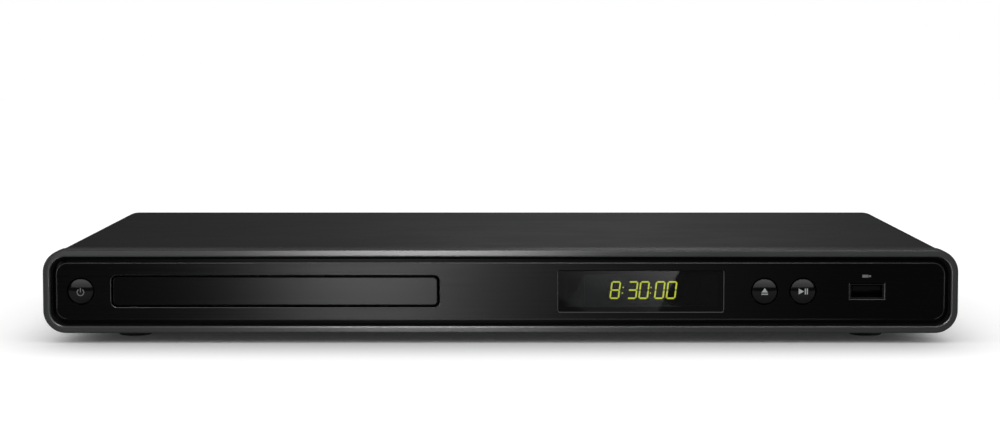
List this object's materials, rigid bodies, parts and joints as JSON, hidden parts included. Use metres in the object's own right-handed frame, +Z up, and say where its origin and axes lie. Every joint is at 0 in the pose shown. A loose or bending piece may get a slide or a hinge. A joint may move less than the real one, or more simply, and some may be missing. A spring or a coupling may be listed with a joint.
{
  "type": "disc player with a sliding tray",
  "caption": "Slim disc player with a motor-driven disc tray, display window, round push buttons, a front socket and a working loader, lift and pickup inside.",
  "frame": {"origin": "on the surface it stands on, under the middle of the whole object", "axes": "+X to the right seen from the front, +Y from the front towards the back, +Z up"},
  "size_m": [0.36, 0.209, 0.037],
  "materials": {
    "cover_paint": "black satin paint",
    "chassis_paint": "black semi-matt paint",
    "ring_metal": "dark grey metallic",
    "carrier_plastic": "matt black",
    "fascia_metal": "black, brushed lengthways",
    "door_finish": "black, smooth satin",
    "window_lens": "smoked and glossy",
    "display_black": "black display face",
    "display_glow": "lit yellow-green figures",
    "pcb_green": "green solder mask",
    "pcb_tan": "tan board",
    "part_black": "moulded black",
    "nickel_plate": "nickel plate",
    "tongue_white": "white",
    "button_black": "black gloss",
    "plunger_brown": "brown",
    "foot_plastic": "black",
    "pad_rubber": "dark grey rubber",
    "loader_plastic": "dark moulded plastic",
    "tray_plastic": "dark grey, fine texture",
    "gear_white": "natural acetal",
    "motor_steel": "plated can",
    "belt_rubber": "black rubber",
    "bridge_steel": "plated sheet",
    "puck_plastic": "pale plastic",
    "rod_steel": "ground steel",
    "sled_metal": "die-cast",
    "lens_glass": "coated lens",
    "brass_gear": "turned brass",
    "capacitor_sleeve": "printed sleeve",
    "jack_metal": "nickel plate",
    "jack_colour": "coloured insert, one colour to each socket",
    "heatsink_alloy": "extruded",
    "transformer_tape": "core and yellow tape",
    "lead_white": "white leads and headers",
    "lead_red": "red leads and headers",
    "screw_black": "blackened steel",
    "screw_zinc": "bright zinc"
  },
  "bodies": {
    "case": {"bottom_chassis": "chassis_paint", "rear_panel": "chassis_paint", "top_cover": "cover_paint", "trim_ring": "ring_metal", "front_carrier": "carrier_plastic", "fascia_plate": "fascia_metal", "display_window": "window_lens", "display_module": "display_black", "display_digits": "display_glow", "front_board": "pcb_green", "standby_board": "pcb_green", "tact_switches": "part_black", "usb_shell": "nickel_plate", "usb_tongue": "tongue_white", "remote_receiver": "part_black", "feet": "foot_plastic", "foot_pads": "pad_rubber", "loader_frame": "loader_plastic", "loading_motor": "motor_steel", "drive_belt": "belt_rubber", "clamper_bridge": "bridge_steel", "main_board": "pcb_green", "board_chips": "part_black", "board_capacitors": "capacitor_sleeve", "jack_block": "part_black", "jack_barrels": "jack_metal", "jack_inserts": "jack_colour", "supply_board": "pcb_tan", "supply_transformer": "transformer_tape", "supply_heatsink": "heatsink_alloy", "supply_capacitors": "capacitor_sleeve", "mains_inlet": "part_black", "inlet_pins": "nickel_plate", "front_harness": "lead_white", "supply_harness": "lead_red", "loader_ribbon": "lead_white", "cover_screws": "screw_black", "inner_screws": "screw_zinc"},
    "tray": {"disc_tray": "tray_plastic", "tray_door": "door_finish"},
    "drive_gear_body": {"drive_gear": "gear_white"},
    "pulley_gear_body": {"pulley_gear": "gear_white"},
    "motor_pulley_body": {"motor_pulley": "gear_white"},
    "cam": {"slide_cam": "gear_white"},
    "traverse": {"traverse_plate": "bridge_steel", "spindle_motor": "motor_steel", "guide_rods": "rod_steel", "sled_motor": "motor_steel"},
    "turntable_body": {"turntable": "part_black"},
    "pickup": {"pickup_sled": "sled_metal", "pickup_lens": "lens_glass"},
    "sled_gear_body": {"sled_gear": "gear_white"},
    "sled_pinion_body": {"sled_pinion": "brass_gear"},
    "clamper": {"clamper_puck": "puck_plastic"},
    "power_key": {"power_button": "button_black", "power_plunger": "plunger_brown"},
    "eject_key": {"eject_button": "button_black", "eject_plunger": "plunger_brown"},
    "play_key": {"play_button": "button_black", "play_plunger": "plunger_brown"}
  },
  "joints": [
    {"name": "tray_slide", "type": "slide", "parent": "case", "child": "tray", "axis": [0, -1, 0], "range_m": [0, 0.132]},
    {"name": "drive_gear_spin", "type": "hinge", "parent": "case", "child": "drive_gear_body", "pos_m": [-0.04485, -0.077, 0.0155], "axis": [0, 0, 1], "range_deg": [-1010, 0]},
    {"name": "pulley_gear_spin", "type": "hinge", "parent": "case", "child": "pulley_gear_body", "pos_m": [-0.06485, -0.077, 0.0135], "axis": [0, 0, 1], "range_deg": [0, 2354]},
    {"name": "motor_pulley_spin", "type": "hinge", "parent": "case", "child": "motor_pulley_body", "pos_m": [-0.09885, -0.077, 0.0145], "axis": [0, 0, 1], "range_deg": [0, 7190]},
    {"name": "traverse_lift", "type": "hinge", "parent": "case", "child": "traverse", "pos_m": [-0.0886, 0.063, 0.013], "axis": [-1, 0, 0], "range_deg": [0, 2.98]},
    {"name": "cam_slide", "type": "slide", "parent": "case", "child": "cam", "axis": [1, 0, 0], "range_m": [0, 0.012]},
    {"name": "turntable_spin", "type": "hinge", "parent": "traverse", "child": "turntable_body", "pos_m": [-0.0886, -0.03742, 0.01839], "axis": [0, -0.052, 0.9986], "continuous": true},
    {"name": "pickup_slide", "type": "slide", "parent": "traverse", "child": "pickup", "axis": [0, 0.9986, 0.052], "range_m": [0, 0.034]},
    {"name": "sled_gear_spin", "type": "hinge", "parent": "traverse", "child": "sled_gear_body", "pos_m": [-0.1258, 0.01483, 0.015], "axis": [0, -0.052, 0.9986], "range_deg": [0, 465]},
    {"name": "sled_pinion_spin", "type": "hinge", "parent": "traverse", "child": "sled_pinion_body", "pos_m": [-0.1258, 0.02681, 0.01562], "axis": [0, -0.052, 0.9986], "range_deg": [-1084, 0]},
    {"name": "clamper_spin", "type": "hinge", "parent": "case", "child": "clamper", "pos_m": [-0.0886, -0.037, 0.0265], "axis": [0, 0, 1], "continuous": true},
    {"name": "power_press", "type": "slide", "parent": "case", "child": "power_key", "axis": [0, 1, 0], "range_m": [0, 0.0005], "stiffness_N_per_m": 1000, "springref_m": -0.0002},
    {"name": "eject_press", "type": "slide", "parent": "case", "child": "eject_key", "axis": [0, 1, 0], "range_m": [0, 0.0005], "stiffness_N_per_m": 1000, "springref_m": -0.0002},
    {"name": "play_press", "type": "slide", "parent": "case", "child": "play_key", "axis": [0, 1, 0], "range_m": [0, 0.0005], "stiffness_N_per_m": 1000, "springref_m": -0.0002}
  ],
  "couplings": [
    {"joint": "drive_gear_spin", "follows": "tray_slide", "rad_per_m": -133.33},
    {"joint": "pulley_gear_spin", "follows": "tray_slide", "rad_per_m": 311.11},
    {"joint": "motor_pulley_spin", "follows": "tray_slide", "rad_per_m": 950.38},
    {"joint": "cam_slide", "follows": "traverse_lift", "m_per_rad": 0.23067},
    {"joint": "sled_gear_spin", "follows": "pickup_slide", "rad_per_m": 238.1},
    {"joint": "sled_pinion_spin", "follows": "pickup_slide", "rad_per_m": -555.56}
  ]
}
